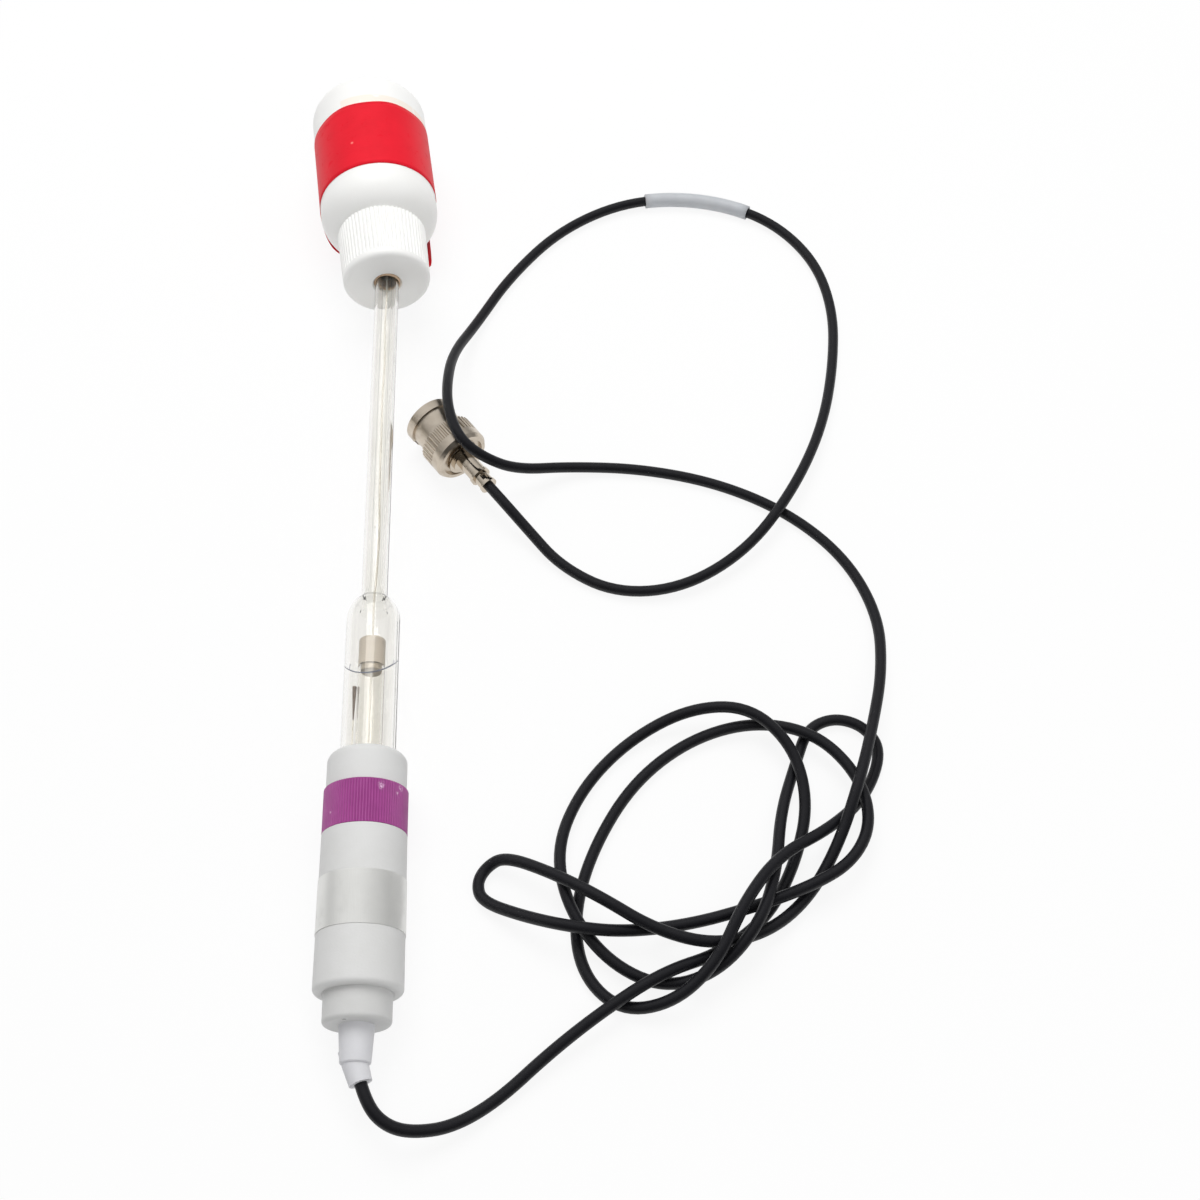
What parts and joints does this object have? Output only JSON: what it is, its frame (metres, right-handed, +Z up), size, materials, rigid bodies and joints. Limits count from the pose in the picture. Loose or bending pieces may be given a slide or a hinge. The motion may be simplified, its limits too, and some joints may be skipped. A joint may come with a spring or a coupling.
{
  "type": "ph electrode",
  "caption": "Combination glass pH electrode lying with its tip in a capped storage bottle, with a ribbed fill ring on the head and a thin coaxial lead to a bayonet plug.",
  "frame": {"origin": "on the table under the middle of the electrode and its bottle, the cable left out", "axes": "+Z up, +Y along the electrode in plan from its cable end to the bottle, +X towards the cable"},
  "size_m": [0.1505, 0.2961, 0.0329],
  "materials": {
    "clear_glass": "clear drawn glass",
    "frit_ceramic": "porous white ceramic",
    "silver": "dull silver wire",
    "beige_plug": "translucent beige plug",
    "reference_metal": "dark silver chloride",
    "potting": "cast resin",
    "head_plastic": "satin moulded plastic",
    "boot_plastic": "soft moulded plastic",
    "ring_plastic": "satin purple plastic",
    "seal_rubber": "matt rubber",
    "silver_band": "satin metallised film",
    "bottle_plastic": "white polyethylene",
    "cap_plastic": "white moulded plastic",
    "grommet_rubber": "tan rubber",
    "red_label": "satin red paper label",
    "cable_jacket": "satin black jacket",
    "marker_sleeve": "translucent pale sleeve",
    "nickel": "nickel plate",
    "contact_metal": "plated contact spring",
    "pin_metal": "gilt pin",
    "dielectric": "white dielectric",
    "gasket_rubber": "silicone rubber"
  },
  "bodies": {
    "electrode": {"glass_body": "clear_glass", "inner_tube": "clear_glass", "junction_frit": "frit_ceramic", "silver_wire": "silver", "lead_tube": "clear_glass", "lead_plug": "beige_plug", "reference_wire": "reference_metal", "potting_seal": "potting", "head_collar": "head_plastic", "ring_seal_front": "seal_rubber", "ring_seal_rear": "seal_rubber", "head_barrel": "head_plastic", "label_band": "silver_band", "end_plug": "head_plastic", "strain_relief": "boot_plastic", "cable_lead": "cable_jacket", "cable_marker": "marker_sleeve", "bnc_ferrule": "nickel", "bnc_body": "nickel", "bnc_contact": "contact_metal", "bnc_insulator": "dielectric", "bnc_pin": "pin_metal", "bnc_gasket": "gasket_rubber", "bnc_wave_washer": "contact_metal"},
    "fill_ring": {"fill_ring": "ring_plastic"},
    "grommet": {"soaker_grommet": "grommet_rubber"},
    "cap": {"soaker_cap": "cap_plastic"},
    "bottle": {"soaker_bottle": "bottle_plastic", "bottle_label": "red_label"},
    "coupling": {"bnc_ring": "nickel"}
  },
  "joints": [
    {"name": "fill_ring_turn", "type": "hinge", "parent": "electrode", "child": "fill_ring", "pos_m": [0.0053, -0.08157, 0.01131], "axis": [0, 0.9995, 0.0322], "range_deg": [-90, 0]},
    {"name": "soaker_slide", "type": "slide", "parent": "electrode", "child": "grommet", "axis": [0, 0.9995, 0.0322], "range_m": [0, 0.045]},
    {"name": "cap_turn", "type": "hinge", "parent": "grommet", "child": "cap", "pos_m": [0.0053, 0.0748, 0.01635], "axis": [0.1201, -0.9928, 0], "range_deg": [0, 540]},
    {"name": "bottle_unscrew", "type": "slide", "parent": "grommet", "child": "bottle", "axis": [-0.1201, 0.9928, 0], "range_m": [0, 0.00451]},
    {"name": "coupling_turn", "type": "hinge", "parent": "electrode", "child": "coupling", "pos_m": [0.02127, 0.0284, 0.00765], "axis": [-0.5892, 0.808, 0], "continuous": true}
  ],
  "couplings": [
    {"joint": "bottle_unscrew", "follows": "cap_turn", "m_per_rad": 0.00047746}
  ]
}
